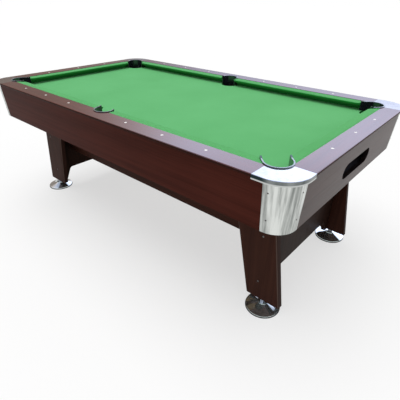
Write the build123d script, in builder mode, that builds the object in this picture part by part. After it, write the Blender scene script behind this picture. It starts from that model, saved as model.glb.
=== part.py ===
# Pool table whose gutters lead from the pockets to a return slot, in millimetres.
# Origin on the floor under the middle of the table, +Z up, +X along the table to the end with the
# return slot (the other one is the head end), -Y towards the front long side.
# Corner and side pieces are modelled at +X, +Y and mirrored to their other places.
import os
from collections import namedtuple
from math import cos, radians, sin, tan

from build123d import *

os.makedirs("parts", exist_ok=True)

# Whole table
table_length = 2152
table_width = 1214
rail_top = 786
corner_radius = 110
fit_gap = 0.3  # between pieces that fit into one another
seam_gap = 0.4  # between the ends of neighbouring trim pieces

# Wood rails and their sights
rail_width = 88
rail_board = 12  # thickness of the overhanging top board
rail_overhang = 11
rail_round = 4
sight_spacing = 230
sight_inset = 51  # outer edge of the rail to the middle of a sight
sight_diameter = 12
sight_depth = 1.5
long_sight_count = 3  # on each side of a side pocket

# Playing surface
rail_drop = 43  # rail top down to the cloth
cloth_thickness = 1.5
bed_thickness = 18
bed_gap = 5  # edge of the bed to the aprons
cushion_depth = 50
cushion_back = 34  # height of the back face that is glued to the rail
nose_height = 36  # above the cloth
nose_round = 4
nose_slope = 3  # fall of the top over the last of the nose

# Aprons, corner castings and corner caps
apron_drop = 215  # rail top down to the lower edge
apron_thickness = 18
apron_batter = 13  # lean inwards from top to bottom
casting_wall = 4
casting_run = 7  # straight part past the round corner
tongue_length = 41  # of the apron's end behind a casting
cap_long_reach = 156  # table end to the seam on a long rail
cap_end_reach = 142  # table side to the seam on an end rail
cap_lip = 18
cap_wall = 4
cap_round = 2
cap_post_diameter = 14

# Pockets
corner_pocket_radius = 50
corner_horn = 38  # straight side of the liner towards the bed
side_pocket_radius = 47
side_pocket_setback = 31  # cushion nose to the middle of a side pocket
side_horn = 16
liner_wall = 4
liner_gap = 1  # liner to the cloth in the hole
liner_depth = 70  # rail top down to the lower edge
throat_depth = 64  # rail top down to the lip on the bed's side
rim_reach = 3  # rim past the wall, outwards
rim_height = 4
rim_round = 1.5
tip_rise = 4  # of the horn tips over the rim
tip_length = 20
sleeve_depth = 16  # cloth turned down in the holes of the bed

# Gutters, tray and return slot
mouth_height = 70
mouth_width = 288
mouth_drop = 127  # rail top down to the middle of the slot
tray_wall = 3
tray_step = 6  # slot's lower edge above the tray's floor
tray_leg_gap = 5
tray_side_gap = 2  # tray to the gutters
gutter_wall = 3
gutter_height = 40
roll_height = 61  # gutter's floor up to the pocket liners at the head end
gutter_fall = 23  # over the gutter's length
gutter_leg_gap = 12
gutter_apron_gap = 12
gutter_end_gap = 28  # gutter's ends to the end aprons
ear_width = 40
ear_inset = 300  # gutter's end to the middle of its outer ears

# Underframe
beam_thickness = 22
beam_height = 63.5
beam_end_gap = 5

# Legs
leg_inset = 217  # table side to the outer face of a leg board
foot_inset = 172  # table end to the middle of a foot
leg_thickness = 30
leg_bottom = 47
leg_foot_width = 177  # width of the board at its lower end
leg_outer_rake = 8.9  # degrees from upright
leg_inner_rake = 11.6
leg_round = 9
panel_thickness = 22
panel_setback = 30  # middle of a foot to the middle of the panel, inwards
panel_arch_height = 133
panel_leg_top = 68  # width of the strip beside the leg board at the arch
panel_leg_foot = 27
panel_arch_round = 25
stretcher_inset = 98  # stretcher's outer face to the inner face of the leg boards
stretcher_thickness = 18
stretcher_bottom = 269
stretcher_height = 130

# Feet
foot_radius = 80
pad_overlap = 2  # pad's edge past the disc
pad_thickness = 6
disc_edge = 4
disc_slope_radius = 24
disc_hub_height = 26  # over the pad
socket_floor = 6
stud_diameter = 12
stud_fit = 0.06  # radial, in disc and insert
stud_engagement = 60  # of the stud over the leg's lower end
stud_chamfer = 1
collar_flats = 24
insert_diameter = 20
insert_length = 30
insert_flange_diameter = 28
insert_flange = 2
insert_fit = 0.1
bore_spare = 5  # hole over the stud's end
bore_room = 2  # hole around the stud, over the insert

# Fasteners
bolt_diameter = 8
bolt_length = 48
bolt_flats = 13
bolt_head = 5.5
screw_diameter = 4
screw_length = 42
casting_screw_length = 15
screw_head_diameter = 9
screw_head = 2.5
casting_screw_head_diameter = 6
casting_screw_head = 1.8
bore_fit = 0.1  # radial, around a fastener's shank
rail_bolt_margin = 110  # pocket or seam to the nearest rail bolt
leg_bolt_spacing = 88
panel_screw_margin = 12  # panel's arch or upper edge to the nearest screw
stretcher_screw_spacing = 65
casting_screw_run = 21  # seam to screw
casting_screw_sink = 1  # depth of the flat seat in the casting
casting_screw_drops = (55, 162)  # below the rail top

half_length = table_length / 2
half_width = table_width / 2
corner_x = half_length - corner_radius
corner_y = half_width - corner_radius
rail_inner_x = half_length - rail_width
rail_inner_y = half_width - rail_width
nose_x = rail_inner_x - cushion_depth
nose_y = rail_inner_y - cushion_depth
board_under = rail_top - rail_board
cloth_top = rail_top - rail_drop
bed_top = cloth_top - cloth_thickness
bed_under = bed_top - bed_thickness
apron_bottom = rail_top - apron_drop
seam_x = corner_x - casting_run
seam_y = corner_y - casting_run
cap_seam_x = half_length - cap_long_reach
cap_seam_y = half_width - cap_end_reach
leg_face = half_width - leg_inset
leg_inner_face = leg_face - leg_thickness
foot_x = half_length - foot_inset
foot_y = leg_face - leg_thickness / 2
panel_x = foot_x - panel_setback
beam_bottom = bed_under - beam_height
stretcher_face = leg_inner_face - stretcher_inset
mouth_middle = rail_top - mouth_drop
tray_floor = mouth_middle - mouth_height / 2 - tray_step

corners = {
    "front_head": (-1, -1),
    "front_return": (1, -1),
    "back_head": (-1, 1),
    "back_return": (1, 1),
}
Pocket = namedtuple("Pocket", "x y heading radius horn")
corner_pocket = Pocket(nose_x, nose_y, 45, corner_pocket_radius, corner_horn)
side_pocket = Pocket(0, nose_y + side_pocket_setback, 90, side_pocket_radius, side_horn)
pockets = (corner_pocket, side_pocket)


def apron_inset(height):
    # The aprons' outer face leans inwards below the rail board.
    return rail_overhang + apron_batter * (board_under - height) / (board_under - apron_bottom)


def leg_outer(height):
    return foot_x + leg_foot_width / 2 - tan(radians(leg_outer_rake)) * (height - leg_bottom)


def leg_inner(height):
    return foot_x - leg_foot_width / 2 - tan(radians(leg_inner_rake)) * (height - leg_bottom)


tray_back = leg_outer(tray_floor) + tray_leg_gap
beam_end = tray_back - tray_wall - beam_end_gap
bed_half_length = half_length - apron_inset(bed_under) - apron_thickness - bed_gap
bed_half_width = half_width - apron_inset(bed_under) - apron_thickness - bed_gap
bed_corner = corner_radius - apron_inset(bed_under) - apron_thickness - bed_gap


def placed(piece, x_sign, y_sign):
    if x_sign < 0:
        piece = mirror(piece, about=Plane.YZ)
    if y_sign < 0:
        piece = mirror(piece, about=Plane.XZ)
    return piece


def save(piece, name):
    piece.label = name
    export_step(piece, f"parts/{name}.step")


def pocket_plane(pocket, height):
    # x points from the middle of the pocket away from the bed.
    heading = radians(pocket.heading)
    return Plane(
        origin=(pocket.x, pocket.y, height),
        x_dir=(cos(heading), sin(heading), 0),
        z_dir=(0, 0, 1),
    )


def pocket_outline(radius, reach, mode=Mode.ADD):
    # A half round away from the bed, with straight sides towards it.
    with BuildLine() as outline:
        CenterArc((0, 0), radius, -90, 180)
        Polyline((0, radius), (-reach, radius), (-reach, -radius), (0, -radius))
    make_face(outline.edges(), mode=mode)


def cut_pocket(pocket, bottom, top):
    # Clears the active part for a pocket liner and for the way to it.
    with BuildSketch(pocket_plane(pocket, bottom)) as clearing:
        pocket_outline(pocket.radius + liner_wall + fit_gap, 3 * pocket.radius)
    extrude(clearing.sketch, amount=top - bottom, mode=Mode.SUBTRACT)


def bore(places, diameter, depth):
    # Holes in the active part for fasteners whose heads sit on these planes.
    with BuildSketch(*places) as holes:
        Circle(diameter / 2 + bore_fit)
    extrude(holes.sketch, amount=depth, mode=Mode.SUBTRACT)


def hole_radius(pocket):
    return pocket.radius + liner_wall + liner_gap


def pocket_spots(pocket):
    # The middles of all pockets of this kind.
    x_signs = (-1, 1) if pocket.x else (1,)
    return [(x_sign * pocket.x, y_sign * pocket.y) for x_sign in x_signs for y_sign in (-1, 1)]


# Fastener places: planes on the seat of the head that face the way the fastener is driven.
rail_bolt_y = (rail_inner_y + half_width - rail_overhang - apron_thickness) / 2
rail_bolt_x = (rail_inner_x + half_length - rail_overhang - apron_thickness) / 2
first_bolt = side_pocket_radius + liner_wall + rail_bolt_margin
last_bolt = cap_seam_x - rail_bolt_margin
end_bolt = cap_seam_y - rail_bolt_margin
rail_bolt_spots = [
    (x_sign * x, y_sign * rail_bolt_y)
    for x in (first_bolt, (first_bolt + last_bolt) / 2, last_bolt)
    for x_sign in (-1, 1)
    for y_sign in (-1, 1)
]
rail_bolt_spots += [(x_sign * rail_bolt_x, y) for y in (-end_bolt, 0, end_bolt) for x_sign in (-1, 1)]
rail_bolts = [Plane(origin=(x, y, bed_under), z_dir=(0, 0, 1)) for x, y in rail_bolt_spots]


def leg_bolts(x_sign, y_sign):
    height = beam_bottom + beam_height / 2
    middle = (leg_outer(height) + leg_inner(height)) / 2
    spots = (middle - leg_bolt_spacing / 2, middle + leg_bolt_spacing / 2)
    return [Plane(origin=(x_sign * x, y_sign * leg_face, height), z_dir=(0, -y_sign, 0)) for x in spots]


def panel_screws(x_sign, y_sign):
    low = panel_arch_height + panel_screw_margin
    high = beam_bottom - panel_screw_margin
    return [
        Plane(origin=(x_sign * panel_x, y_sign * leg_face, height), z_dir=(0, -y_sign, 0))
        for height in (low, (low + high) / 2, high)
    ]


def stretcher_screws(x_sign, y_sign):
    y = y_sign * (stretcher_face - stretcher_thickness / 2)
    x = x_sign * (panel_x + panel_thickness / 2)
    middle = stretcher_bottom + stretcher_height / 2
    heights = (middle - stretcher_screw_spacing / 2, middle + stretcher_screw_spacing / 2)
    return [Plane(origin=(x, y, height), z_dir=(-x_sign, 0, 0)) for height in heights]


def casting_screws(x_sign, y_sign):
    # Two near each seam, square to the upright through the casting's face.
    places = []
    for drop in casting_screw_drops:
        height = rail_top - drop
        run = casting_screw_run - casting_run
        radius = corner_radius - apron_inset(height)
        reach = (radius**2 - run**2) ** 0.5 - casting_screw_sink
        front = (x_sign * (corner_x + run), y_sign * (corner_y + reach), height)
        end = (x_sign * (corner_x + reach), y_sign * (corner_y + run), height)
        places.append(Plane(origin=front, z_dir=(0, -y_sign, 0)))
        places.append(Plane(origin=end, z_dir=(-x_sign, 0, 0)))
    return places


def corner_solid(trim, run_x, run_y, bottom, top):
    # The battered round corner of the cabinet, trimmed inwards, with its straight runs.
    with BuildPart() as corner:
        for height in (bottom, top):
            radius = corner_radius - apron_inset(height) - trim
            with BuildSketch(Plane.XY.offset(height)):
                with BuildLine():
                    Line((corner_x - run_x, corner_y + radius), (corner_x, corner_y + radius))
                    CenterArc((corner_x, corner_y), radius, 0, 90)
                    Polyline(
                        (corner_x + radius, corner_y),
                        (corner_x + radius, corner_y - run_y),
                        (corner_x - run_x, corner_y - run_y),
                        (corner_x - run_x, corner_y + radius),
                    )
                make_face()
        loft(ruled=True)
    return corner.part


# Bed and cloth
def bed_sheet(bottom, thickness, hole_room):
    with BuildPart() as sheet:
        with BuildSketch(Plane.XY.offset(bottom)):
            RectangleRounded(2 * bed_half_length, 2 * bed_half_width, bed_corner)
            for pocket in pockets:
                with Locations(*pocket_spots(pocket)):
                    Circle(hole_radius(pocket) + hole_room, mode=Mode.SUBTRACT)
        extrude(amount=thickness)
    return sheet.part


with BuildPart() as bed_board:
    add(bed_sheet(bed_under, bed_thickness, cloth_thickness + fit_gap))
    bore(rail_bolts, bolt_diameter, bed_thickness)
    # Two boards that meet over the middle cross beam.
    with BuildSketch(Plane.XY.offset(bed_under)):
        Rectangle(seam_gap, 2 * bed_half_width)
    extrude(amount=bed_thickness, mode=Mode.SUBTRACT)
save(bed_board.part, "bed_board")

with BuildPart() as bed_cloth:
    add(bed_sheet(bed_top, cloth_thickness, 0))
    bore(rail_bolts, bolt_diameter, bed_thickness + cloth_thickness)
    for pocket in pockets:
        with BuildSketch(Plane.XY.offset(cloth_top)):
            with Locations(*pocket_spots(pocket)):
                Circle(hole_radius(pocket) + cloth_thickness)
                Circle(hole_radius(pocket), mode=Mode.SUBTRACT)
        extrude(amount=-sleeve_depth)
save(bed_cloth.part, "bed_cloth")


# Wood rails: a board that overhangs the apron, on a core that stands on the bed and backs the apron
def board_section(inner, outer):
    Polyline(
        (inner, rail_top),
        (outer, rail_top),
        (outer, board_under),
        (inner, board_under),
        close=True,
    )


def core_section(inner, half):
    Polyline(
        (inner, board_under),
        (half - apron_inset(board_under) - apron_thickness, board_under),
        (half - apron_inset(cloth_top) - apron_thickness, cloth_top),
        (inner, cloth_top),
        close=True,
    )


def wood_rail(plane, inner, half, board_half_length, core_half_length, cut_pockets, sights, bolts):
    with BuildPart() as rail:
        with BuildSketch(plane.offset(-board_half_length)):
            with BuildLine():
                board_section(inner, half)
            make_face()
        extrude(amount=2 * board_half_length)
        along = Axis((0, 0, 0), plane.z_dir)
        outer_edges = rail.edges().filter_by(along).sort_by(Axis((0, 0, 0), plane.x_dir))[-2:]
        fillet(outer_edges, rail_round)
        with BuildSketch(plane.offset(-core_half_length)):
            with BuildLine():
                core_section(inner, half)
            make_face()
        extrude(amount=2 * core_half_length)
        for pocket in cut_pockets:
            cut_pocket(pocket, cloth_top, rail_top)
        with BuildSketch(Plane.XY.offset(rail_top)):
            with Locations(*sights):
                Circle(sight_diameter / 2 + bore_fit)
        extrude(amount=-sight_depth, mode=Mode.SUBTRACT)
        bore(bolts, bolt_diameter, bolt_length + fit_gap)
    return rail.part


def other_ends(pocket):
    # The pocket at the other end of the long rail and of the end rail.
    other_x = pocket._replace(x=-pocket.x, heading=180 - pocket.heading)
    other_y = pocket._replace(y=-pocket.y, heading=-pocket.heading)
    return other_x, other_y


head_corner, front_corner = other_ends(corner_pocket)
long_sights = [
    (x_sign * step * sight_spacing, half_width - sight_inset)
    for step in range(1, long_sight_count + 1)
    for x_sign in (-1, 1)
]
end_sights = [(half_length - sight_inset, step * sight_spacing) for step in (-1, 0, 1)]
long_rail = wood_rail(
    Plane.YZ,
    rail_inner_y,
    half_width,
    cap_seam_x - seam_gap,
    seam_x,
    (corner_pocket, head_corner, side_pocket),
    long_sights,
    [place for place in rail_bolts if place.origin.Y > nose_y],
)
end_plane = Plane(origin=(0, 0, 0), x_dir=(1, 0, 0), z_dir=(0, -1, 0))
end_rail = wood_rail(
    end_plane,
    rail_inner_x,
    half_length,
    cap_seam_y - seam_gap,
    seam_y,
    (corner_pocket, front_corner),
    end_sights,
    [place for place in rail_bolts if place.origin.X > nose_x],
)
save(placed(long_rail, 1, -1), "rail_front")
save(placed(long_rail, 1, 1), "rail_back")
save(placed(end_rail, -1, 1), "rail_head_end")
save(placed(end_rail, 1, 1), "rail_return_end")

with BuildPart() as rail_sights:
    for x_sign, y_sign in corners.values():
        spots = [(x, y_sign * y) for x, y in long_sights if x * x_sign > 0]
        with BuildSketch(Plane.XY.offset(rail_top)):
            with Locations(*spots):
                Circle(sight_diameter / 2)
        extrude(amount=-sight_depth)
    for x_sign in (-1, 1):
        with BuildSketch(Plane.XY.offset(rail_top)):
            with Locations(*[(x_sign * x, y) for x, y in end_sights]):
                Circle(sight_diameter / 2)
        extrude(amount=-sight_depth)
save(rail_sights.part, "rail_sights")


# Cushions: back face on the rail, top falling to the nose, underside drawn back
def cushion(plane, inner, start, length, cut_pockets):
    nose_level = cloth_top + nose_height
    tip = inner - cushion_depth
    with BuildPart() as strip:
        with BuildSketch(plane.offset(start)):
            with BuildLine():
                Polyline(
                    (inner, rail_top - fit_gap),
                    (tip + nose_round, nose_level + nose_slope),
                    (tip, nose_level),
                    (tip + nose_round, nose_level - nose_round),
                    (inner, rail_top - cushion_back),
                    close=True,
                )
            face = make_face()
            tips = face.vertices().sort_by(Axis.X)[0:1]
            fillet(tips, nose_round / 2)
        extrude(amount=length)
        for pocket in cut_pockets:
            cut_pocket(pocket, cloth_top, rail_top)
    return strip.part


long_cushion = cushion(Plane.YZ, rail_inner_y, 0, nose_x, (corner_pocket, side_pocket))
end_cushion = cushion(end_plane, rail_inner_x, -nose_y, 2 * nose_y, (corner_pocket, front_corner))
for name, (x_sign, y_sign) in corners.items():
    save(placed(long_cushion, x_sign, y_sign), f"cushion_{name}")
save(placed(end_cushion, -1, 1), "cushion_head_end")
save(placed(end_cushion, 1, 1), "cushion_return_end")


# Aprons: leaning boards whose ends go on as tongues inside the castings
def apron_section(half):
    Polyline(
        (half - apron_inset(board_under), board_under),
        (half - apron_inset(apron_bottom), apron_bottom),
        (half - apron_inset(apron_bottom) - apron_thickness, apron_bottom),
        (half - apron_inset(board_under) - apron_thickness, board_under),
        close=True,
    )


def apron(plane, half, seam):
    boards = []
    for half_run in (seam, seam + tongue_length):
        with BuildPart() as board:
            with BuildSketch(plane.offset(-half_run)):
                with BuildLine():
                    apron_section(half)
                make_face()
            extrude(amount=2 * half_run)
        boards.append(board.part)
    return boards


def apron_piece(plane, half, seam, mirror_plane):
    board, long_board = apron(plane, half, seam)
    room = corner_solid(casting_wall + fit_gap, corner_radius, corner_radius, apron_bottom, board_under)
    with BuildPart() as tongue:
        add(long_board)
        add(room, mode=Mode.INTERSECT)
    with BuildPart() as piece:
        add(board)
        add(tongue.part)
        add(mirror(tongue.part, about=mirror_plane))
    return piece.part


def screwed(piece, places):
    with BuildPart() as drilled:
        add(piece)
        bore(places, screw_diameter, casting_screw_length + fit_gap)
    return drilled.part


long_apron = apron_piece(Plane.YZ, half_width, seam_x, Plane.YZ)
end_apron = apron_piece(end_plane, half_length, seam_y, Plane.XZ)
long_apron = screwed(long_apron, casting_screws(1, 1)[0::2] + casting_screws(-1, 1)[0::2])
end_apron = screwed(end_apron, casting_screws(1, 1)[1::2] + casting_screws(1, -1)[1::2])
save(placed(long_apron, 1, -1), "apron_front")
save(placed(long_apron, 1, 1), "apron_back")
save(placed(end_apron, -1, 1), "apron_head_end")
with BuildPart() as apron_return_end:
    add(end_apron)
    with BuildSketch(Plane.YZ.offset(nose_x)):
        with Locations((0, mouth_middle)):
            SlotOverall(mouth_width, mouth_height)
    extrude(amount=half_length - nose_x, mode=Mode.SUBTRACT)
save(apron_return_end.part, "apron_return_end")

# Corner castings: battered round shells below the caps
cap_under = rail_top - cap_wall
with BuildPart() as corner_casting:
    add(corner_solid(0, casting_run - seam_gap, casting_run - seam_gap, apron_bottom, cap_under))
    add(
        corner_solid(casting_wall, corner_radius, corner_radius, apron_bottom, cap_under),
        mode=Mode.SUBTRACT,
    )
    bore(casting_screws(1, 1), screw_diameter, 2 * casting_wall)
    bore(casting_screws(1, 1), casting_screw_head_diameter, -2 * casting_screw_sink)

# Corner caps: a plate around the pocket with a lip that hangs over the casting, on two posts
with BuildPart() as corner_cap:
    with BuildSketch(Plane.XY.offset(rail_top - cap_lip)) as cap_plan:
        with Locations((half_length, half_width)):
            Rectangle(cap_long_reach, cap_end_reach, align=(Align.MAX, Align.MAX))
        fillet(cap_plan.vertices().group_by(Axis.X)[-1].sort_by(Axis.Y)[-1], corner_radius)
    extrude(amount=cap_lip)
    with BuildSketch(Plane.XY.offset(rail_top - cap_lip)) as cap_hollow:
        with Locations((half_length - cap_wall, half_width - cap_wall)):
            Rectangle(cap_long_reach, cap_end_reach, align=(Align.MAX, Align.MAX))
        hollow_corner = cap_hollow.vertices().group_by(Axis.X)[-1].sort_by(Axis.Y)[-1]
        fillet(hollow_corner, corner_radius - cap_wall)
    extrude(amount=cap_lip - cap_wall, mode=Mode.SUBTRACT)
    post_spots = (((cap_seam_x + seam_x) / 2, rail_bolt_y), (rail_bolt_x, (cap_seam_y + seam_y) / 2))
    with BuildSketch(Plane.XY.offset(board_under)):
        with Locations(*post_spots):
            Circle(cap_post_diameter / 2)
    extrude(amount=cap_under - board_under)
    cut_pocket(corner_pocket, rail_top - cap_lip, rail_top)
    lip_edges = corner_cap.faces().sort_by(Axis.Z)[-1].outer_wire().edges()
    outside = corner_x + corner_y + corner_radius
    lip_edges = lip_edges.filter_by(lambda edge: edge.center().X + edge.center().Y > outside)
    fillet(lip_edges, cap_round)


# Pocket liners: a wall around the back of the pocket, a round throat through the bed and a rim on top
def pocket_liner(pocket):
    outer = pocket.radius + liner_wall
    wall_bottom = cloth_top + fit_gap
    liner_bottom = rail_top - liner_depth
    throat_top = rail_top - throat_depth
    with BuildPart() as liner:
        with BuildSketch(pocket_plane(pocket, wall_bottom)):
            pocket_outline(outer, pocket.horn)
            pocket_outline(pocket.radius, 2 * pocket.horn, mode=Mode.SUBTRACT)
        extrude(amount=rail_top - wall_bottom)
        with BuildSketch(pocket_plane(pocket, liner_bottom)):
            Circle(outer)
            Circle(pocket.radius, mode=Mode.SUBTRACT)
        extrude(amount=throat_top - liner_bottom)
        with BuildSketch(pocket_plane(pocket, throat_top)):
            Circle(outer)
            Circle(pocket.radius, mode=Mode.SUBTRACT)
            Rectangle(outer, 2 * outer, align=(Align.MAX, Align.CENTER), mode=Mode.SUBTRACT)
        extrude(amount=wall_bottom - throat_top)
        with BuildSketch(pocket_plane(pocket, rail_top)):
            pocket_outline(outer + rim_reach, pocket.horn)
            pocket_outline(pocket.radius, 2 * pocket.horn, mode=Mode.SUBTRACT)
        extrude(amount=rim_height)
        rim_top = liner.faces().sort_by(Axis.Z)[-1]
        fillet(rim_top.edges(), rim_round)
        level = pocket_plane(pocket, rail_top)
        upright = Plane(origin=level.origin, x_dir=level.x_dir, z_dir=-level.y_dir)
        for start in (pocket.radius, -outer - rim_reach):
            with BuildSketch(upright.offset(start)):
                with BuildLine():
                    Polyline(
                        (-pocket.horn, rim_round),
                        (-pocket.horn, rim_height + tip_rise),
                        (tip_length - pocket.horn, rim_height - rim_round),
                        (tip_length - pocket.horn, rim_round),
                        close=True,
                    )
                make_face()
            extrude(amount=liner_wall + rim_reach)
    return liner.part


corner_liner = pocket_liner(corner_pocket)
side_liner = pocket_liner(side_pocket)
for name, (x_sign, y_sign) in corners.items():
    save(placed(corner_casting.part, x_sign, y_sign), f"corner_casting_{name}")
    save(placed(corner_cap.part, x_sign, y_sign), f"corner_cap_{name}")
    save(placed(corner_liner, x_sign, y_sign), f"pocket_liner_{name}")
save(placed(side_liner, 1, -1), "pocket_liner_front_side")
save(placed(side_liner, 1, 1), "pocket_liner_back_side")

# Gutters: sloping troughs under the pockets of one side, hung from the bed, open to the tray at the end
gutter_end = half_length - apron_inset(apron_bottom) - apron_thickness - gutter_end_gap
gutter_inner = leg_face + gutter_leg_gap
gutter_outer = half_width - apron_inset(apron_bottom) - apron_thickness - gutter_apron_gap
gutter_head_floor = rail_top - liner_depth - roll_height


def gutter_floor(x):
    return gutter_head_floor - gutter_fall * (x + gutter_end) / (2 * gutter_end)


def trough(start, end, low, high):
    # Upright slice between two offsets from the sloping floor.
    Polyline(
        (start, gutter_floor(start) + low),
        (end, gutter_floor(end) + low),
        (end, gutter_floor(end) + high),
        (start, gutter_floor(start) + high),
        close=True,
    )


with BuildPart() as gutter:
    with BuildSketch(Plane.XZ.offset(-gutter_outer)):
        with BuildLine():
            trough(-gutter_end, gutter_end, -gutter_wall, gutter_height)
        make_face()
    extrude(amount=gutter_outer - gutter_inner)
    with BuildSketch(Plane.XZ.offset(-gutter_outer + gutter_wall)):
        with BuildLine():
            trough(-gutter_end + gutter_wall, gutter_end - gutter_wall, 0, gutter_height)
        make_face()
    extrude(amount=gutter_outer - gutter_inner - 2 * gutter_wall, mode=Mode.SUBTRACT)
    with BuildSketch(Plane.XZ.offset(-gutter_inner - gutter_wall)):
        with BuildLine():
            trough(tray_back, gutter_end - gutter_wall, 0, gutter_height)
        make_face()
    extrude(amount=gutter_wall, mode=Mode.SUBTRACT)
    ears = [(x, gutter_inner) for x in (ear_inset - gutter_end, 0, gutter_end - ear_inset)]
    with BuildSketch(Plane.XY.offset(bed_under)):
        with Locations(*ears):
            Rectangle(ear_width, gutter_wall, align=(Align.CENTER, Align.MIN))
    extrude(amount=gutter_floor(gutter_end) - bed_under)
save(placed(gutter.part, 1, -1), "gutter_front")
save(placed(gutter.part, 1, 1), "gutter_back")

# Return tray: a floor behind the slot with a back wall up to the bed
tray_front = half_length - apron_inset(tray_floor - tray_wall) - apron_thickness - fit_gap
tray_half_width = gutter_inner - tray_side_gap
with BuildPart() as return_tray:
    with BuildSketch(Plane.XY.offset(tray_floor - tray_wall)):
        with Locations((tray_back - tray_wall, 0)):
            Rectangle(
                tray_front - tray_back + tray_wall,
                2 * tray_half_width,
                align=(Align.MIN, Align.CENTER),
            )
    extrude(amount=tray_wall)
    with BuildSketch(Plane.XY.offset(tray_floor - tray_wall)):
        with Locations((tray_back - tray_wall, 0)):
            Rectangle(tray_wall, 2 * tray_half_width, align=(Align.MIN, Align.CENTER))
    extrude(amount=bed_under - tray_floor + tray_wall)
save(return_tray.part, "return_tray")

# Underframe
with BuildPart() as long_beam:
    with BuildSketch(Plane.XY.offset(beam_bottom)):
        with Locations((0, leg_inner_face)):
            Rectangle(2 * beam_end, beam_thickness, align=(Align.CENTER, Align.MAX))
    extrude(amount=beam_height)
    bore(leg_bolts(1, 1) + leg_bolts(-1, 1), bolt_diameter, bolt_length + fit_gap)
save(placed(long_beam.part, 1, -1), "long_beam_front")
save(placed(long_beam.part, 1, 1), "long_beam_back")

with BuildPart() as cross_beams:
    with BuildSketch(Plane.XY.offset(beam_bottom)):
        with Locations((-panel_x, 0), (0, 0), (panel_x, 0)):
            Rectangle(panel_thickness, 2 * (leg_inner_face - beam_thickness))
    extrude(amount=beam_height)
save(cross_beams.part, "cross_beams")

# Leg boards: tapered boards that lean outwards, bored for the foot's insert
with BuildPart() as leg_board:
    with BuildSketch(Plane.XZ.offset(-leg_face)):
        with BuildLine():
            Polyline(
                (leg_outer(leg_bottom), leg_bottom),
                (leg_outer(bed_under), bed_under),
                (leg_inner(bed_under), bed_under),
                (leg_inner(leg_bottom), leg_bottom),
                close=True,
            )
        make_face()
    extrude(amount=leg_thickness)
    outer_face = leg_board.faces().sort_by(Axis.Y)[-1]
    upright_edges = outer_face.edges().filter_by(lambda edge: abs(edge.tangent_at(0.5).Z) > 0.5)
    fillet(upright_edges, leg_round)
    with BuildSketch(Plane(origin=(foot_x, foot_y, leg_bottom))):
        Circle(insert_diameter / 2 + insert_fit)
    extrude(amount=insert_length + fit_gap, mode=Mode.SUBTRACT)
    with BuildSketch(Plane(origin=(foot_x, foot_y, leg_bottom))):
        Circle(stud_diameter / 2 + bore_room)
    extrude(amount=stud_engagement + bore_spare, mode=Mode.SUBTRACT)
    bore(leg_bolts(1, 1), bolt_diameter, leg_thickness)
    bore(panel_screws(1, 1), screw_diameter, leg_thickness)

# Leg panels: arched between the two leg boards of one end
with BuildPart() as leg_panel:
    with BuildSketch(Plane.YZ.offset(panel_x - panel_thickness / 2)) as panel_plan:
        with BuildLine():
            half_outline = [
                (0, beam_bottom),
                (leg_inner_face, beam_bottom),
                (leg_inner_face, leg_bottom),
                (leg_inner_face - panel_leg_foot, leg_bottom),
                (leg_inner_face - panel_leg_top, panel_arch_height),
                (0, panel_arch_height),
            ]
            Polyline(*half_outline, close=True)
        make_face()
        mirror(about=Plane.YZ)
        arch = panel_plan.vertices().filter_by(lambda corner: abs(corner.Y - panel_arch_height) < fit_gap)
        fillet(arch, panel_arch_round)
    extrude(amount=panel_thickness)
    bore(panel_screws(1, 1) + panel_screws(1, -1), screw_diameter, screw_length + fit_gap)
    bore(stretcher_screws(1, 1) + stretcher_screws(1, -1), screw_diameter, panel_thickness)
save(placed(leg_panel.part, -1, 1), "leg_panel_head_end")
save(placed(leg_panel.part, 1, 1), "leg_panel_return_end")

with BuildPart() as stretcher:
    with BuildSketch(Plane.XY.offset(stretcher_bottom)):
        with Locations((0, stretcher_face)):
            Rectangle(2 * panel_x - panel_thickness, stretcher_thickness, align=(Align.CENTER, Align.MAX))
    extrude(amount=stretcher_height)
    bore(stretcher_screws(1, 1) + stretcher_screws(-1, 1), screw_diameter, screw_length + fit_gap)
save(placed(stretcher.part, 1, -1), "stretcher_front")
save(placed(stretcher.part, 1, 1), "stretcher_back")

# Feet: pad and disc that stand still, and a stud with a hex collar that turns in the disc and the insert
disc_top = pad_thickness + disc_hub_height
stud_radius = stud_diameter / 2
foot_plane = Plane(origin=(foot_x, foot_y, 0))
with BuildPart() as foot_pad:
    with BuildSketch(foot_plane):
        Circle(foot_radius + pad_overlap)
    extrude(amount=pad_thickness)
    fillet(foot_pad.edges().filter_by(GeomType.CIRCLE), pad_overlap)

with BuildPart() as foot_disc:
    with BuildSketch(Plane(origin=(foot_x, foot_y, 0), x_dir=(1, 0, 0), z_dir=(0, -1, 0))):
        with BuildLine():
            Line((0, pad_thickness), (foot_radius, pad_thickness))
            Line((foot_radius, pad_thickness), (foot_radius, pad_thickness + disc_edge))
            hub_start = (disc_slope_radius, disc_top - disc_edge)
            ThreePointArc(
                (foot_radius, pad_thickness + disc_edge),
                ((foot_radius + disc_slope_radius) / 2, pad_thickness + disc_hub_height / 2 - disc_edge / 2),
                hub_start,
            )
            Polyline(
                hub_start,
                (disc_slope_radius, disc_top),
                (stud_radius + stud_fit, disc_top),
                (stud_radius + stud_fit, pad_thickness + socket_floor),
                (0, pad_thickness + socket_floor),
                (0, pad_thickness),
            )
        make_face()
    revolve(axis=Axis((foot_x, foot_y, 0), (0, 0, 1)))

collar_bottom = disc_top + fit_gap
collar_top = leg_bottom - insert_flange - 2 * fit_gap
stud_bottom = pad_thickness + socket_floor + fit_gap
with BuildPart() as foot_stud:
    with BuildSketch(foot_plane.offset(stud_bottom)):
        Circle(stud_radius)
    extrude(amount=leg_bottom + stud_engagement - stud_bottom)
    chamfer(foot_stud.edges().filter_by(GeomType.CIRCLE), stud_chamfer)
    with BuildSketch(foot_plane.offset(collar_bottom)):
        RegularPolygon(collar_flats / 2, 6, major_radius=False)
    extrude(amount=collar_top - collar_bottom)

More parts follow.
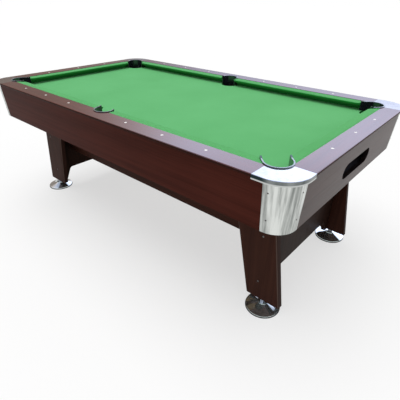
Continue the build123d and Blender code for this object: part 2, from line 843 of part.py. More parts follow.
with BuildPart() as threaded_inserts:
    spots = [(x_sign * foot_x, y_sign * foot_y) for x_sign, y_sign in corners.values()]
    with BuildSketch(Plane.XY.offset(leg_bottom)):
        with Locations(*spots):
            Circle(insert_diameter / 2)
            Circle(stud_radius + stud_fit, mode=Mode.SUBTRACT)
    extrude(amount=insert_length)
    with BuildSketch(Plane.XY.offset(leg_bottom)):
        with Locations(*spots):
            Circle(insert_flange_diameter / 2)
            Circle(stud_radius + stud_fit, mode=Mode.SUBTRACT)
    extrude(amount=-insert_flange)
save(threaded_inserts.part, "threaded_inserts")

for name, (x_sign, y_sign) in corners.items():
    save(placed(leg_board.part, x_sign, y_sign), f"leg_board_{name}")
    save(placed(foot_pad.part, x_sign, y_sign), f"foot_pad_{name}")
    save(placed(foot_disc.part, x_sign, y_sign), f"foot_disc_{name}")
    save(placed(foot_stud.part, x_sign, y_sign), f"foot_stud_{name}")

# Hex bolts: rails to the bed from below, leg boards to the long beams
with BuildPart() as frame_bolts:
    places = rail_bolts + [place for signs in corners.values() for place in leg_bolts(*signs)]
    with BuildSketch(*places):
        RegularPolygon(bolt_flats / 2, 6, major_radius=False)
    extrude(amount=-bolt_head)
    with BuildSketch(*places):
        Circle(bolt_diameter / 2)
    extrude(amount=bolt_length)
save(frame_bolts.part, "frame_bolts")

# Pan-head screws: leg boards to panels, panels to stretchers, castings to apron tongues
with BuildPart() as wood_screws:
    long_places = [place for signs in corners.values() for place in panel_screws(*signs)]
    long_places += [place for signs in corners.values() for place in stretcher_screws(*signs)]
    short_places = [place for signs in corners.values() for place in casting_screws(*signs)]
    with BuildSketch(*long_places):
        Circle(screw_head_diameter / 2)
    extrude(amount=-screw_head)
    with BuildSketch(*short_places):
        Circle(casting_screw_head_diameter / 2)
    extrude(amount=-casting_screw_head)
    with BuildSketch(*long_places):
        Circle(screw_diameter / 2)
    extrude(amount=screw_length)
    with BuildSketch(*short_places):
        Circle(screw_diameter / 2)
    extrude(amount=casting_screw_length)
save(wood_screws.part, "wood_screws")
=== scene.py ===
import math

import bmesh
import bpy
from mathutils import Matrix, Vector


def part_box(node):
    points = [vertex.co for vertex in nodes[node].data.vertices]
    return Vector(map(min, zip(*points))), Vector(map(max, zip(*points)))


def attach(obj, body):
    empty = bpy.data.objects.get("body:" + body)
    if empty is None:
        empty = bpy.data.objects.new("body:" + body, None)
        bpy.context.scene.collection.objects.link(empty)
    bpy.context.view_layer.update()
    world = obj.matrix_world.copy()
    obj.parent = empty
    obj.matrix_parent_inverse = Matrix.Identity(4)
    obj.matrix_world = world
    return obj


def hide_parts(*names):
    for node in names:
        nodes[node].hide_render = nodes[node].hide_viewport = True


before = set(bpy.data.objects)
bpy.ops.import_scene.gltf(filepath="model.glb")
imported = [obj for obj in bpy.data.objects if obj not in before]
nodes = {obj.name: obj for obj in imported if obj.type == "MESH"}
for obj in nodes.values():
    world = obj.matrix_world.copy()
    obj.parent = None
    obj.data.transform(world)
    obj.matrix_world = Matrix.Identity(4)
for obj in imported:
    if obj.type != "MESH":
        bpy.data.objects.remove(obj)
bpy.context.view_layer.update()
print("frame:", len(nodes), "solids of the table")


class Wire:  # a shader socket that can stand in Python sums
    def __init__(self, tree, socket=None):
        self.tree = tree
        self.socket = socket

    def node(self, kind, settings=None, inputs=None, out=0):  # any node, and one of its outputs
        made = self.tree.nodes.new(kind)
        for key, value in (settings or {}).items():
            setattr(made, key, value)
        for key, value in (inputs or {}).items():
            if isinstance(value, Wire):
                self.tree.links.new(value.socket, made.inputs[key])
            else:
                made.inputs[key].default_value = value
        return Wire(self.tree, made.outputs[out])

    def maths(self, operation, first, second):
        return self.node("ShaderNodeMath", {"operation": operation}, {0: first, 1: second})

    def __add__(self, other):
        return self.maths("ADD", self, other)

    __radd__ = __add__

    def __mul__(self, other):
        return self.maths("MULTIPLY", self, other)

    __rmul__ = __mul__

    def __sub__(self, other):
        return self.maths("SUBTRACT", self, other)

    def __rsub__(self, other):
        return self.maths("SUBTRACT", other, self)

    def stretch(self, scale):  # a vector times a scale per axis
        return self.node("ShaderNodeVectorMath", {"operation": "MULTIPLY"}, {0: self, 1: scale})

    def noise(self, scale, detail=2.0, rough=0.5):
        inputs = {"Vector": self, "Scale": scale, "Detail": detail, "Roughness": rough}
        return self.node("ShaderNodeTexNoise", {}, inputs, "Fac")

    def step(self, low, high):  # from 0 at low to 1 at high, smoothly
        inputs = {"Value": self, 1: low, 2: high}
        return self.node("ShaderNodeMapRange", {"interpolation_type": "SMOOTHSTEP"}, inputs)

    def mix(self, first, second):  # colours, self is the factor
        return self.node("ShaderNodeMix", {"data_type": "RGBA"}, {0: self, 6: first, 7: second}, 2)

    def part(self, axis):  # one axis of a vector
        return self.node("ShaderNodeSeparateXYZ", {}, {0: self}, axis)

    def facing(self, axis):  # how far the surface faces along an axis, -1 to 1
        return self.node("ShaderNodeNewGeometry", {}, {}, "Normal").part(axis)

    def ray(self, kind):  # 1 for rays of this kind, otherwise 0
        return self.node("ShaderNodeLightPath", {}, {}, f"Is {kind} Ray")

    def bump(self, strength, distance):
        inputs = {"Strength": strength, "Distance": distance, "Height": self}
        return self.node("ShaderNodeBump", {}, inputs, "Normal")


def newFinish(name, fixed):  # a material with its shader's constants set on its own sockets
    material = bpy.data.materials.new(name)
    material.use_nodes = True
    tree = material.node_tree
    shader = tree.nodes["Principled BSDF"]
    for key, value in fixed.items():
        shader.inputs[key].default_value = value
    place = Wire(tree).node("ShaderNodeTexCoord", {}, {}, "Object")
    return material, shader, place


def feed(shader, **links):
    for key, wire in links.items():
        shader.id_data.links.new(wire.socket, shader.inputs[key.replace("_", " ")])


def rgb(red, green, blue):  # display values 0 to 255, as a linear colour
    values = [v / 255 for v in (red, green, blue)]
    linear = [v / 12.92 if v < 0.04045 else ((v + 0.055) / 1.055) ** 2.4 for v in values]
    return (*linear, 1.0)


# wood print: long pores and darker bands along the board, a darker colour on its cut edges
woodPrint = {
    "dark": rgb(57, 24, 17),
    "mid": rgb(73, 33, 25),
    "pore": rgb(36, 14, 10),
    "edge": rgb(20, 13, 11),
    "poreShare": 0.45,
    "poreScale": (3.0, 420.0),  # along the board and across it
    "poreCut": (0.50, 0.72),  # a cut is the two limits of a smooth step
    "poreRough": 0.12,
    "poreBump": (0.08, 0.0003),  # strength and depth
    "bandScale": (1.2, 38.0),
    "bandWeight": 0.7,
    "cloudScale": 2.2,
    "cloudWeight": 0.3,
    "cloudRough": 0.05,
    "toneCut": (0.3, 0.7),  # from dark to mid
    "topCut": (0.4, 0.7),  # how far up a coated board's face looks, from edge to print
    "sideCut": (0.16, 0.5),  # the same for both sides of other boards, squared
    "rough": 0.32,
}


# along: the axis of the grain; face: the axis that the printed sides look along
def woodFinish(name, along, face, look, fixed, coated=False):
    material, shader, place = newFinish(name, fixed)
    fine, wide = ([look[k][axis != along] for axis in "xyz"] for k in ("poreScale", "bandScale"))
    bands = place.stretch(wide).noise(1.0, detail=4.0, rough=0.6)
    pores = place.stretch(fine).noise(1.0, detail=3.0, rough=0.65)
    cloud = place.noise(look["cloudScale"])
    poreMask = pores.step(*look["poreCut"])
    tone = (bands * look["bandWeight"] + cloud * look["cloudWeight"]).step(*look["toneCut"])
    ground = tone.mix(look["dark"], look["mid"])
    grain = (poreMask * look["poreShare"]).mix(ground, look["pore"])
    looks = place.facing(face)
    square = looks * looks
    printed = looks.step(*look["topCut"]) if coated else square.step(*look["sideCut"])
    ground = printed.mix(look["edge"], grain)
    if "edgeHighlight" in look:  # rounded edges get a painted highlight
        start, end = look["edgeHighlightBand"]
        paintedHighlight = square.step(*start) * (1 - square.step(*end))
        ground = (paintedHighlight * cloud.step(*look["edgeHighlightCut"])).mix(ground, look["edgeHighlight"])
    feed(
        shader,
        Base_Color=ground,
        Roughness=look["rough"] + poreMask * look["poreRough"] + cloud * look["cloudRough"],
        Normal=(1 - poreMask).bump(*look["poreBump"]),
    )
    if coated:
        feed(shader, Coat_Weight=printed)
    return material


railLook = {
    **woodPrint,
    "dark": rgb(74, 29, 20),
    "mid": rgb(94, 41, 30),
    "edge": rgb(46, 23, 17),
    "rough": 0.22,
}
railFixed = {"Coat Roughness": 0.09, "Coat IOR": 1.64, "Specular IOR Level": 0.02}
apronFixed = {"Specular IOR Level": 0.02}
# a darker copy of the apron print for the end aprons: painted shade
endShadedLook = {**woodPrint, "dark": rgb(47, 25, 18), "mid": rgb(61, 34, 26)}
endFixed = {"Specular IOR Level": 0.18}
legLook = {
    **woodPrint,
    "dark": rgb(49, 28, 22),
    "mid": rgb(65, 38, 29),
    "pore": rgb(29, 16, 12),
    "edge": rgb(46, 27, 21),
    # painted highlight along the rounded edges of legs and panels
    "edgeHighlight": rgb(88, 74, 68),
    "edgeHighlightBand": ((0.08, 0.4), (0.6, 0.95)),  # where the painted edge highlight begins and ends, squared
    "edgeHighlightCut": (0.2, 0.6),
    "rough": 0.38,
}
# a darker copy of the leg print for the end panels: painted shade
panelShadedLook = {**legLook, "dark": rgb(33, 21, 16), "mid": rgb(45, 29, 22), "pore": rgb(20, 12, 9)}
legFixed = {"Specular IOR Level": 0.03}
woods = {
    "railLong": woodFinish("railLong", "x", "Z", railLook, railFixed, coated=True),
    "railEnd": woodFinish("railEnd", "y", "Z", railLook, railFixed, coated=True),
    "apronLong": woodFinish("apronLong", "x", "Y", woodPrint, apronFixed),
    "apronEndShaded": woodFinish("apronEndShaded", "y", "X", endShadedLook, endFixed),
    "legUpright": woodFinish("legUpright", "z", "Y", legLook, legFixed),
    "panelUprightShaded": woodFinish("panelUprightShaded", "z", "X", panelShadedLook, legFixed),
    "legLong": woodFinish("legLong", "x", "Y", legLook, legFixed),
}
print("wood prints:", len(woods))

# napped table cloth
clothLook = {
    "nap": rgb(108, 191, 124),
    "shade": rgb(94, 176, 109),
    "under": rgb(35, 146, 62),  # painted shade: the cloth on faces that look sideways and down
    "thread": 1500.0,
    "fluff": 260.0,
    "wear": 3.0,
    "toneWeights": (0.35, 0.3, 0.35),  # threads, fluff and wear
    "toneCut": (0.3, 0.7),
    "lyingCut": (0.05, 0.85),  # how far up a face looks
    "rough": 0.88,
    "fluffRough": 0.1,
    "bumpWeights": (0.6, 0.4),  # threads and fluff
    "bump": (0.25, 0.0004),
}
clothFixed = {"Specular IOR Level": 0.1, "Sheen Weight": 0.06, "Sheen Roughness": 0.5}


def clothFinish(name, look):
    material, shader, place = newFinish(name, clothFixed)
    threads = place.noise(look["thread"])
    fluff = place.noise(look["fluff"], detail=3.0, rough=0.6)
    wear = place.noise(look["wear"], detail=3.0)
    ofThreads, ofFluff, ofWear = look["toneWeights"]
    tone = (threads * ofThreads + fluff * ofFluff + wear * ofWear).step(*look["toneCut"])
    # faces that look sideways and down take the painted shade colour
    lying = place.facing("Z").step(*look["lyingCut"])
    ofThreads, ofFluff = look["bumpWeights"]
    feed(
        shader,
        Base_Color=lying.mix(look["under"], tone.mix(look["shade"], look["nap"])),
        Roughness=look["rough"] + fluff * look["fluffRough"],
        Normal=(threads * ofThreads + fluff * ofFluff).bump(*look["bump"]),
    )
    return material


bedFinish = clothFinish("bedCloth", clothLook)
# a darker copy of the bed cloth for the cushions: painted shade
cushionShadedLook = {**clothLook, "nap": rgb(100, 184, 114), "shade": rgb(86, 168, 100)}
cushionFinish = clothFinish("cushionClothShaded", cushionShadedLook)


# metals: streaks drawn up the castings, polished caps and feet
metal = {
    "metallic": 1.0,
    "lineWeight": 0.6,
    "bandScale": 0.22,  # broad bands, as a share of the streaks' scale
    "bandWeight": 0.4,
    "toneCut": (0.34, 0.62),  # from dull to bright
    "smear": 9.0,
    "smearRough": 0.05,
    "bump": (0.05, 0.0002),
}


def metalFinish(name, look):
    look = {**metal, **look}
    material, shader, place = newFinish(name, {"Metallic": look["metallic"]})
    lines = place.stretch(look["streak"]).noise(1.0, detail=4.0, rough=0.65)
    bands = place.stretch([v * look["bandScale"] for v in look["streak"]]).noise(1.0, detail=3.0)
    smear = place.noise(look["smear"], detail=3.0)
    tone = (lines * look["lineWeight"] + bands * look["bandWeight"]).step(*look["toneCut"])
    ground = tone.mix(look["dull"], look["bright"])
    # painted reflections on the cap's lip: dark patches on its upright face, a bright lower edge
    if "lip" in look:
        lip = bands.step(*look["lipCut"]).mix(look["lip"], look["dull"])
        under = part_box("corner_cap_front_head")[0].z
        lip = (place.part("Z") - under).step(*look["lipFoot"]).mix(look["bright"], lip)
        ground = place.facing("Z").step(*look["topCut"]).mix(lip, ground)
    feed(
        shader,
        Base_Color=ground,
        Roughness=look["rough"] + lines * look["haze"] + smear * look["smearRough"],
        Normal=lines.bump(*look["bump"]),
    )
    return material


casting = {
    "dull": rgb(128, 132, 129),
    "bright": rgb(220, 223, 219),
    "rough": 0.22,
    "haze": 0.2,
    "streak": (70.0, 70.0, 1.2),  # fine across, long up the casting
}
cap = {
    "dull": rgb(166, 170, 169),
    "bright": rgb(190, 193, 191),
    "lip": rgb(34, 47, 49),  # painted dark reflection on the lip's upright face
    "lipCut": (0.42, 0.78),
    "lipFoot": (0.0035, 0.0065),  # its painted bright reflection along the lower edge fades out between these heights
    "topCut": (0.35, 0.8),  # how far up the cap's top looks
    "rough": 0.08,
    "haze": 0.06,
    "streak": (40.0, 40.0, 8.0),
}
foot = {
    "dull": rgb(196, 206, 204),
    "bright": rgb(232, 241, 239),
    "metallic": 0.93,  # a thin haze over the mirror
    "rough": 0.04,
    "haze": 0.05,
    "streak": (40.0, 40.0, 40.0),
}
zinc = {
    "dull": rgb(140, 142, 145),
    "bright": rgb(186, 188, 190),
    "rough": 0.28,
    "haze": 0.2,
    "streak": (200.0, 200.0, 40.0),
}
screw = {
    "dull": rgb(88, 84, 80),
    "bright": rgb(128, 124, 118),
    "rough": 0.3,
    "haze": 0.2,
    "streak": (300.0, 300.0, 300.0),
}
castingFinish = metalFinish("drawnCasting", casting)
capFinish = metalFinish("polishedCap", cap)
footFinish = metalFinish("chromedFoot", foot)
zincFinish = metalFinish("zincSteel", zinc)
screwFinish = metalFinish("darkScrew", screw)


# moulded and sheet plastics, rubber, fibreboard
mould = {
    "pebbleWeight": 0.6,
    "pebbleRough": 0.12,
    "pebbleBump": 0.2,
    "dust": 14.0,
    "dustWeight": 0.4,
    "toneCut": (0.4, 0.75),  # from colour to fleck
}
liner = {
    "colour": rgb(22, 26, 31),
    "fleck": rgb(38, 43, 50),
    "rim": rgb(88, 116, 120),  # painted highlight along the top
    "rimHighlightCut": (0.2, 0.6),
    "topCut": (0.2, 0.7),  # how far up the rim looks
    "rough": 0.16,
    "grain": 700.0,
    "depth": 0.00006,
}
sheet = {
    "colour": rgb(22, 22, 23),
    "fleck": rgb(34, 34, 35),
    "rough": 0.55,
    "grain": 300.0,
    "depth": 0.0002,
}
rubber = {
    "colour": rgb(20, 20, 20),
    "fleck": rgb(34, 33, 32),
    "rough": 0.75,
    "grain": 500.0,
    "depth": 0.0004,
}
sight = {
    "colour": rgb(253, 253, 251),
    "fleck": rgb(243, 242, 238),
    "rough": 0.25,
    "grain": 200.0,
    "depth": 0.00005,
}
fibre = {
    "colour": rgb(150, 122, 92),
    "fleck": rgb(112, 88, 64),
    "rough": 0.8,
    "grain": 900.0,
    "depth": 0.0003,
}


def mouldFinish(name, look, fixed):
    look = {**mould, **look}
    material, shader, place = newFinish(name, fixed)
    pebble = place.noise(look["grain"], detail=3.0, rough=0.6)
    dust = place.noise(look["dust"], detail=3.0)
    tone = (pebble * look["pebbleWeight"] + dust * look["dustWeight"]).step(*look["toneCut"])
    ground = tone.mix(look["colour"], look["fleck"])
    # faces that look up take a painted highlight, broken up by dust
    if "rim" in look:
        paintedHighlight = dust.step(*look["rimHighlightCut"]).mix(look["fleck"], look["rim"])
        ground = place.facing("Z").step(*look["topCut"]).mix(ground, paintedHighlight)
    feed(
        shader,
        Base_Color=ground,
        Roughness=look["rough"] + pebble * look["pebbleRough"],
        Normal=pebble.bump(look["pebbleBump"], look["depth"]),
    )
    return material


linerFinish = mouldFinish("pocketMould", liner, {"Coat Weight": 1.0, "Coat Roughness": 0.12})
sheetFinish = mouldFinish("blackSheet", sheet, {})
rubberFinish = mouldFinish("footRubber", rubber, {})
sightFinish = mouldFinish("sightDot", sight, {"Specular IOR Level": 0.1})
boardFinish = mouldFinish("fibreBoard", fibre, {})
print("cloth, metal and moulded finishes ready")

finishByStart = [
    ("rail_front", woods["railLong"]),
    ("rail_back", woods["railLong"]),
    ("rail_sights", sightFinish),
    ("rail_", woods["railEnd"]),
    ("apron_front", woods["apronLong"]),
    ("apron_back", woods["apronLong"]),
    ("apron_", woods["apronEndShaded"]),
    ("leg_panel", woods["panelUprightShaded"]),
    ("leg_board", woods["legUpright"]),
    ("stretcher_", woods["legLong"]),
    ("corner_casting", castingFinish),
    ("corner_cap", capFinish),
    ("foot_disc", footFinish),
    ("foot_pad", rubberFinish),
    ("foot_stud", zincFinish),
    ("threaded_inserts", zincFinish),
    ("frame_bolts", zincFinish),
    ("wood_screws", screwFinish),
    ("pocket_liner", linerFinish),
    ("gutter_", sheetFinish),
    ("return_tray", sheetFinish),
    ("bed_board", boardFinish),
    ("long_beam", boardFinish),
    ("cross_beams", boardFinish),
    ("bed_cloth", bedFinish),
    ("cushion_", cushionFinish),
]
for nodeName, piece in nodes.items():
    finish = next(f for start, f in finishByStart if nodeName.startswith(start))
    piece.data.materials.clear()
    piece.data.materials.append(finish)
print("finishes set on", len(nodes), "solids")


def makePiece(name, mesh, finish):
    data = bpy.data.meshes.new(name)
    mesh.to_mesh(data)
    mesh.free()
    piece = bpy.data.objects.new(name, data)
    bpy.context.scene.collection.objects.link(piece)
    data.materials.append(finish)
    return piece


def bridge(mesh, upper, lower, smooth=True):  # faces between two rings of points
    for i in range(len(upper)):
        j = (i + 1) % len(upper)
        mesh.faces.new((upper[j], upper[i], lower[i], lower[j])).smooth = smooth


def closeLoop(mesh, ring):
    pairs = zip(ring, ring[1:] + ring[:1])
    return [mesh.edges.get(pair) or mesh.edges.new(pair) for pair in pairs]


# pockets, as the cloth and the cushions meet them
pockets = {
    "corner": (0.938, 0.469),
    "side": (0.0, 0.5),
    "cornerHole": 0.055,  # radius of the holes in the cloth
    "sideHole": 0.052,
    "cornerCut": 0.0549,  # from the middle of a pocket to the cushions' ends
    "sideCut": 0.0519,
}

# bed cloth: stretched over the bed, rolled down into the pocket holes
bedCloth = {
    "corner": 0.0728,  # radius of the sheet's own corners
    "cornerSteps": 10,
    "roll": 0.0035,  # radius of the bend at a hole's edge
    "rollSteps": 6,
    "drop": 0.0145,  # depth of the cloth in a hole
    "round": 64,  # points around a hole
    "hem": 0.01,  # turned under along each edge
}


def rollHole(mesh, values, x, y, hole, top):  # the cloth's way down a hole, gives its upper ring
    steps, roll = values["rollSteps"], values["roll"]
    levels = []
    for k in range(steps + 1):
        swing = math.pi / 2 * k / steps
        levels.append((hole + roll * (1 - math.sin(swing)), top - roll * (1 - math.cos(swing))))
    levels.append((hole, top - values["drop"]))
    turns = [2 * math.pi * i / values["round"] for i in range(values["round"])]
    rings = []
    for radius, z in levels:
        spots = [(x + radius * math.cos(t), y + radius * math.sin(t), z) for t in turns]
        rings.append([mesh.verts.new(spot) for spot in spots])
    for upper, lower in zip(rings, rings[1:]):
        bridge(mesh, upper, lower)
    return rings[0]


def layBedCloth(values):
    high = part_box("bed_cloth")[1]
    corner, steps = values["corner"], values["cornerSteps"]
    mesh = bmesh.new()
    outer = []
    for sx, sy in ((1, 1), (-1, 1), (-1, -1), (1, -1)):
        middle = Vector((sx * (high.x - corner), sy * (high.y - corner), high.z))
        for i in range(steps + 1):
            turn = math.atan2(sy, sx) - math.pi / 4 + math.pi / 2 * i / steps
            away = Vector((math.cos(turn), math.sin(turn), 0))
            outer.append(mesh.verts.new(middle + corner * away))
    edges = closeLoop(mesh, outer)
    x, y = pockets["corner"]
    holes = [(sx * x, sy * y, pockets["cornerHole"]) for sx in (-1, 1) for sy in (-1, 1)]
    x, y = pockets["side"]
    holes += [(x, sy * y, pockets["sideHole"]) for sy in (-1, 1)]
    for x, y, hole in holes:
        edges += closeLoop(mesh, rollHole(mesh, values, x, y, hole, high.z))
    up = (0, 0, 1)
    bmesh.ops.triangle_fill(mesh, use_beauty=True, use_dissolve=False, edges=edges, normal=up)
    bmesh.ops.recalc_face_normals(mesh, faces=mesh.faces)
    piece = makePiece("bedClothSheet", mesh, bedFinish)
    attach(piece, "table")
    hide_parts("bed_cloth")


layBedCloth(bedCloth)
print("bed cloth laid")

# rail cushions: rubber strips with the cloth drawn over the nose and tucked in at the rail
cushion = {
    "longFace": 0.519,  # from the table's middle to the face of a long rail
    "endFace": 0.988,
    "gap": 0.0008,  # kept to the rail
    "heelGap": 0.0004,  # the same at the lower edge
    "lip": 0.0016,  # from the rail's top down to the cloth's edge
    "tuck": 0.0026,  # the same to the groove where it is tucked in
    "tuckWidth": 0.005,
    "tuckShare": 0.45,  # how far across the groove it is deepest
    "shoulder": 0.0009,  # the same to where the top face starts
    "crown": 0.0009,  # rise of the top face's middle
    "crownSteps": 8,
    "nose": (0.0444, 0.0362),  # depth and height over the bed of the nose's middle
    "noseRadius": 0.0042,
    "noseTurn": (85, -65),  # degrees, from its upper end to its lower one
    "noseSteps": 9,
    "under": ((0.6, 0.0222), (0.25, 0.0139)),  # share of the nose's depth, height over the bed
    "skirt": (0.0014, 0.009, 0.0107),  # down the rail's face: depth, height, start of its bend
    "clear": 0.0004,  # kept over the bed
    "endRound": 0.006,  # radius of the strip's rounded ends
    "endSteps": 5,
    "stations": 40,  # rings along the strip
}


def cushionProfile(values, top, bed):  # (depth from the rail, height) once round the strip
    depth, height = values["nose"]
    radius, noseSteps, crownSteps = (values[k] for k in ("noseRadius", "noseSteps", "crownSteps"))
    shoulder = Vector((values["tuckWidth"], top - values["shoulder"]))
    first, last = (math.radians(turn) for turn in values["noseTurn"])
    nose = []
    for i in range(noseSteps + 1):
        turn = first + (last - first) * i / noseSteps
        nose.append((depth + radius * math.cos(turn), bed + height + radius * math.sin(turn)))
    points = [(values["gap"], top - values["lip"])]
    points += [(values["tuckWidth"] * values["tuckShare"], top - values["tuck"]), tuple(shoulder)]
    for i in range(1, crownSteps):
        spot = shoulder.lerp(Vector(nose[0]), i / crownSteps)
        points.append((spot.x, spot.y + values["crown"] * math.sin(math.pi * i / crownSteps)))
    points += nose
    points += [(depth * share, bed + rise) for share, rise in values["under"]]
    skirt, skirtTop, bend = values["skirt"]
    points += [(skirt + bend - skirtTop, bed + bend), (skirt, bed + skirtTop)]
    points += [(skirt, bed + values["clear"]), (values["heelGap"], bed + values["clear"])]
    return points


def coverCushion(name, values, long, sx, sy):  # sx, sy: the table's quarter, or its end
    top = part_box("rail_front")[1].z
    profile = cushionProfile(values, top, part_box("bed_cloth")[1].z)
    middle = sum((Vector(p) for p in profile), Vector((0, 0))) / len(profile)
    face = values["longFace" if long else "endFace"]
    along, across = pockets["corner"] if long else reversed(pockets["corner"])
    r, stations = values["endRound"], values["stations"]

    def mitre(depth):  # where the corner pocket cuts the strip
        return along + face - depth - across - math.sqrt(2) * pockets["cornerCut"]

    ends = []  # how far in from the end, and how much smaller the strip is there
    for k in range(values["endSteps"]):
        inset = r * (1 - math.cos(math.pi / 2 * k / values["endSteps"]))
        ends.append((inset, r - math.sqrt(r * r - (r - inset) ** 2)))
    rows = [(0, inset - r, less) for inset, less in ends]
    rows += [(k / stations, 0.0, 0.0) for k in range(stations + 1)]
    rows += [(1, r - inset, less) for inset, less in reversed(ends)]
    mesh = bmesh.new()
    rings = []
    for share, shift, less in rows:
        ring = []
        for point in profile:
            away = Vector(point) - middle
            d, h = middle + away * max(0.0, 1 - less / away.length)
            first = (pockets["sideCut"] if long else -mitre(d)) + r
            run = first + (mitre(d) - r - first) * share + shift
            spot = (sx * run, sy * (face - d), h) if long else (sx * (face - d), run, h)
            ring.append(mesh.verts.new(spot))
        rings.append(ring)
    for upper, lower in zip(rings, rings[1:]):
        bridge(mesh, upper, lower)
    for ring in (rings[0], rings[-1]):
        mesh.faces.new(ring).smooth = True
    bmesh.ops.recalc_face_normals(mesh, faces=mesh.faces)
    piece = makePiece(f"cushionCover_{name}", mesh, cushionFinish)
    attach(piece, "table")
    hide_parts(f"cushion_{name}")


for endName, sx in (("head", -1), ("return", 1)):
    coverCushion(f"front_{endName}", cushion, True, sx, -1)
    coverCushion(f"back_{endName}", cushion, True, sx, 1)
    coverCushion(f"{endName}_end", cushion, False, sx, 1)
print("cushions covered")

# pan-head screws with a cross recess, one for each plain screw of the frame
screwHead = {
    "round": 32,  # points around the head
    "rings": (1.0, 0.9, 0.76, 0.66, 0.6, 0.45, 0.3, 0.18),  # shares of the head's radius
    "edge": 0.4,  # share of the head's height that is upright
    "arm": 0.17,  # half width of the recess, as a share of the radius
    "reach": 0.62,  # the recess's length, as a share of the radius
    "sink": 0.45,  # its depth, as a share of the head's height
    "rimShare": 0.95,  # points farther out than this are the head's rim
    "coreShare": 0.2,  # points nearer the axis than this are not the shank
    "weld": 0.00001,  # points closer than this are one
}


def plainScrews(mesh):  # the points of each separate screw
    done = set()
    for first in mesh.verts:
        if first in done:
            continue
        done.add(first)
        queue, points = [first], []
        while queue:
            vert = queue.pop()
            points.append(vert.co.copy())
            for edge in vert.link_edges:
                other = edge.other_vert(vert)
                if other not in done:
                    done.add(other)
                    queue.append(other)
        yield points


def addScrew(mesh, points, values):
    limits = [(min(p[i] for p in points), max(p[i] for p in points)) for i in range(3)]
    spans = [high - low for low, high in limits]
    axis = spans.index(max(spans))
    middle = Vector([(low + high) / 2 for low, high in limits])

    def offAxis(p):
        return math.sqrt(sum((p[i] - middle[i]) ** 2 for i in range(3) if i != axis))

    radius = max(offAxis(p) for p in points)
    rim = [p[axis] for p in points if offAxis(p) > values["rimShare"] * radius]
    shank = min(offAxis(p) for p in points if offAxis(p) > values["coreShare"] * radius)
    out = 1 if sum(rim) / len(rim) > middle[axis] else -1
    seat = min(rim) if out > 0 else max(rim)
    height = max(rim) - min(rim)
    tail = seat - out * (spans[axis] - height)
    first, second = [i for i in range(3) if i != axis]

    def ring(r, level, sink=False):
        verts = []
        for k in range(values["round"]):
            turn = 2 * math.pi * k / values["round"]
            x, y = r * math.cos(turn), r * math.sin(turn)
            inArm = sink and min(abs(x), abs(y)) < values["arm"] * radius
            spot = [0, 0, 0]
            spot[axis] = level - (out * height * values["sink"] if inArm else 0)
            spot[first] = middle[first] + x
            spot[second] = middle[second] + y
            verts.append(mesh.verts.new(spot))
        return verts

    rings = [ring(shank, tail), ring(shank, seat), ring(radius, seat)]
    for share in values["rings"]:
        dome = values["edge"] + (1 - values["edge"]) * math.sqrt(1 - share**2)
        rings.append(ring(share * radius, seat + out * height * dome, share < values["reach"]))
    for lower, upper in zip(rings, rings[1:]):
        bridge(mesh, upper, lower, smooth=False)
    mesh.faces.new(rings[0])
    mesh.faces.new(rings[-1])


screwSource = bmesh.new()
screwSource.from_mesh(nodes["wood_screws"].data)
bmesh.ops.remove_doubles(screwSource, verts=screwSource.verts, dist=screwHead["weld"])
screwMesh = bmesh.new()
screwCount = 0
for points in plainScrews(screwSource):
    addScrew(screwMesh, points, screwHead)
    screwCount += 1
screwSource.free()
bmesh.ops.recalc_face_normals(screwMesh, faces=screwMesh.faces)
screws = makePiece("screwHeads", screwMesh, screwFinish)
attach(screws, "table")
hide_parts("wood_screws")
print("screws:", screwCount)

# floor and light
studio = {
    "floor": rgb(252, 252, 252),
    "floorCloud": rgb(250, 250, 250),
    "floorHalf": 40,  # half its width
    "floorDrop": 0.0005,  # kept under the feet
    "floorGlow": 0.6,  # share of plain white, so that shadows stay pale
    "fill": 0.5,  # the sky's light on the table
    "sun": 1.75,
    "sunAngle": 60.0,  # degrees, for soft shadows
    "sunFrom": (-0.15, -0.05, 1.0),
    "skyTint": (0.81, 0.86, 1.12, 1.0),  # what gloss and metal mirror
    "duskTint": (1.05, 0.85, 0.77, 1.0),  # the same beyond the head end
    "duskCut": (-0.9, -0.6),  # where along the table one turns into the other
    "skyLow": 0.29,
    "skyHigh": 2.5,
    "skyCut": (0.15, 0.5),  # heights between the low and the high sky
    "skyTilt": 0.1,  # how much lower these are towards the back
    "zenithDip": 1.9,  # how much dimmer it is straight above
    "zenithCut": (0.5, 0.8),
}
floorMesh = bmesh.new()
bmesh.ops.create_grid(floorMesh, x_segments=4, y_segments=4, size=studio["floorHalf"])
floorFixed = {"Roughness": 0.9, "Specular IOR Level": 0.0}
floorFinish, floorShader, floorPlace = newFinish("paleFloor", floorFixed)
feed(floorShader, Base_Color=floorPlace.noise(2.0).mix(studio["floor"], studio["floorCloud"]))
white = floorPlace.node("ShaderNodeEmission", {}, {"Strength": 1.0})
floorTree = floorFinish.node_tree
lit = Wire(floorTree, floorShader.outputs[0])
direct = floorPlace.maths("MAXIMUM", floorPlace.ray("Camera"), floorPlace.ray("Glossy"))
glowing = direct * studio["floorGlow"]
both = floorPlace.node("ShaderNodeMixShader", {}, {0: glowing, 1: lit, 2: white})
floorTree.links.new(both.socket, floorTree.nodes["Material Output"].inputs["Surface"])
floor = makePiece("paleFloor", floorMesh, floorFinish)
floor.location.z = -studio["floorDrop"]

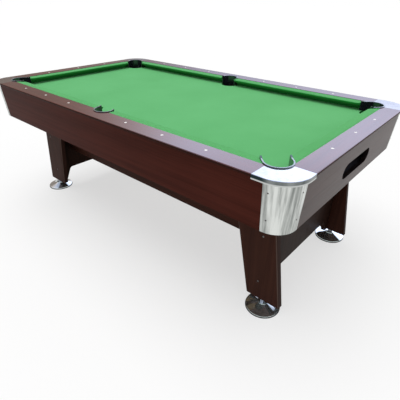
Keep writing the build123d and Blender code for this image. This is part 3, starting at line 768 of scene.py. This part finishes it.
world = bpy.data.worlds.new("studio")
bpy.context.scene.world = world
world.use_nodes = True
air = Wire(world.node_tree)
aim = air.node("ShaderNodeTexCoord", {}, {}, "Generated")
mirrored = air.ray("Glossy")
clear = aim.part("X").step(*studio["duskCut"])
opened = clear * (aim.part("Z") + studio["skyTilt"] * aim.part("Y")).step(*studio["skyCut"])
highSky = studio["skyHigh"] - studio["zenithDip"] * aim.part("Z").step(*studio["zenithCut"])
glow = studio["skyLow"] * (1 - opened) + highSky * opened
plain = air.maths("MAXIMUM", air.ray("Camera"), studio["fill"])
tint = mirrored.mix(rgb(255, 255, 255), clear.mix(studio["duskTint"], studio["skyTint"]))
strength = mirrored * glow + (1 - mirrored) * plain
feed(world.node_tree.nodes["Background"], Color=tint, Strength=strength)

sun = bpy.data.lights.new("softSun", "SUN")
sun.energy = studio["sun"]
sun.angle = math.radians(studio["sunAngle"])
sunPiece = bpy.data.objects.new("softSun", sun)
bpy.context.scene.collection.objects.link(sunPiece)
sunPiece.rotation_euler = (-Vector(studio["sunFrom"])).to_track_quat("-Z", "Y").to_euler()
sunPiece.visible_glossy = False  # metal mirrors the sky alone
print("studio lit")

# camera, as the photograph was taken
view = {
    "place": (1.4526, -1.4621, 1.2799),
    "yaw": -41.04,  # degrees, as pitch and roll
    "pitch": 30.75,
    "roll": -0.476,
    "lens": 31.59,
    "sensor": 36.0,
    "farthest": 200.0,
}
yaw, pitch, roll = (math.radians(view[k]) for k in ("yaw", "pitch", "roll"))
level = math.cos(pitch)
ahead = Vector((math.sin(yaw) * level, math.cos(yaw) * level, -math.sin(pitch)))
right = Vector((math.cos(yaw), -math.sin(yaw), 0))
down = ahead.cross(right)
turnedRight = math.cos(roll) * right + math.sin(roll) * down
turnedDown = math.cos(roll) * down - math.sin(roll) * right
lensData = bpy.data.cameras.new("photoView")
lensData.lens = view["lens"]
lensData.sensor_width = view["sensor"]
lensData.clip_end = view["farthest"]
cameraPiece = bpy.data.objects.new("photoView", lensData)
bpy.context.scene.collection.objects.link(cameraPiece)
axes = Matrix((turnedRight, -turnedDown, -ahead)).transposed().to_4x4()
cameraPiece.matrix_world = Matrix.Translation(view["place"]) @ axes
bpy.context.scene.camera = cameraPiece
bpy.context.scene.view_settings.view_transform = "Standard"
print("camera set")
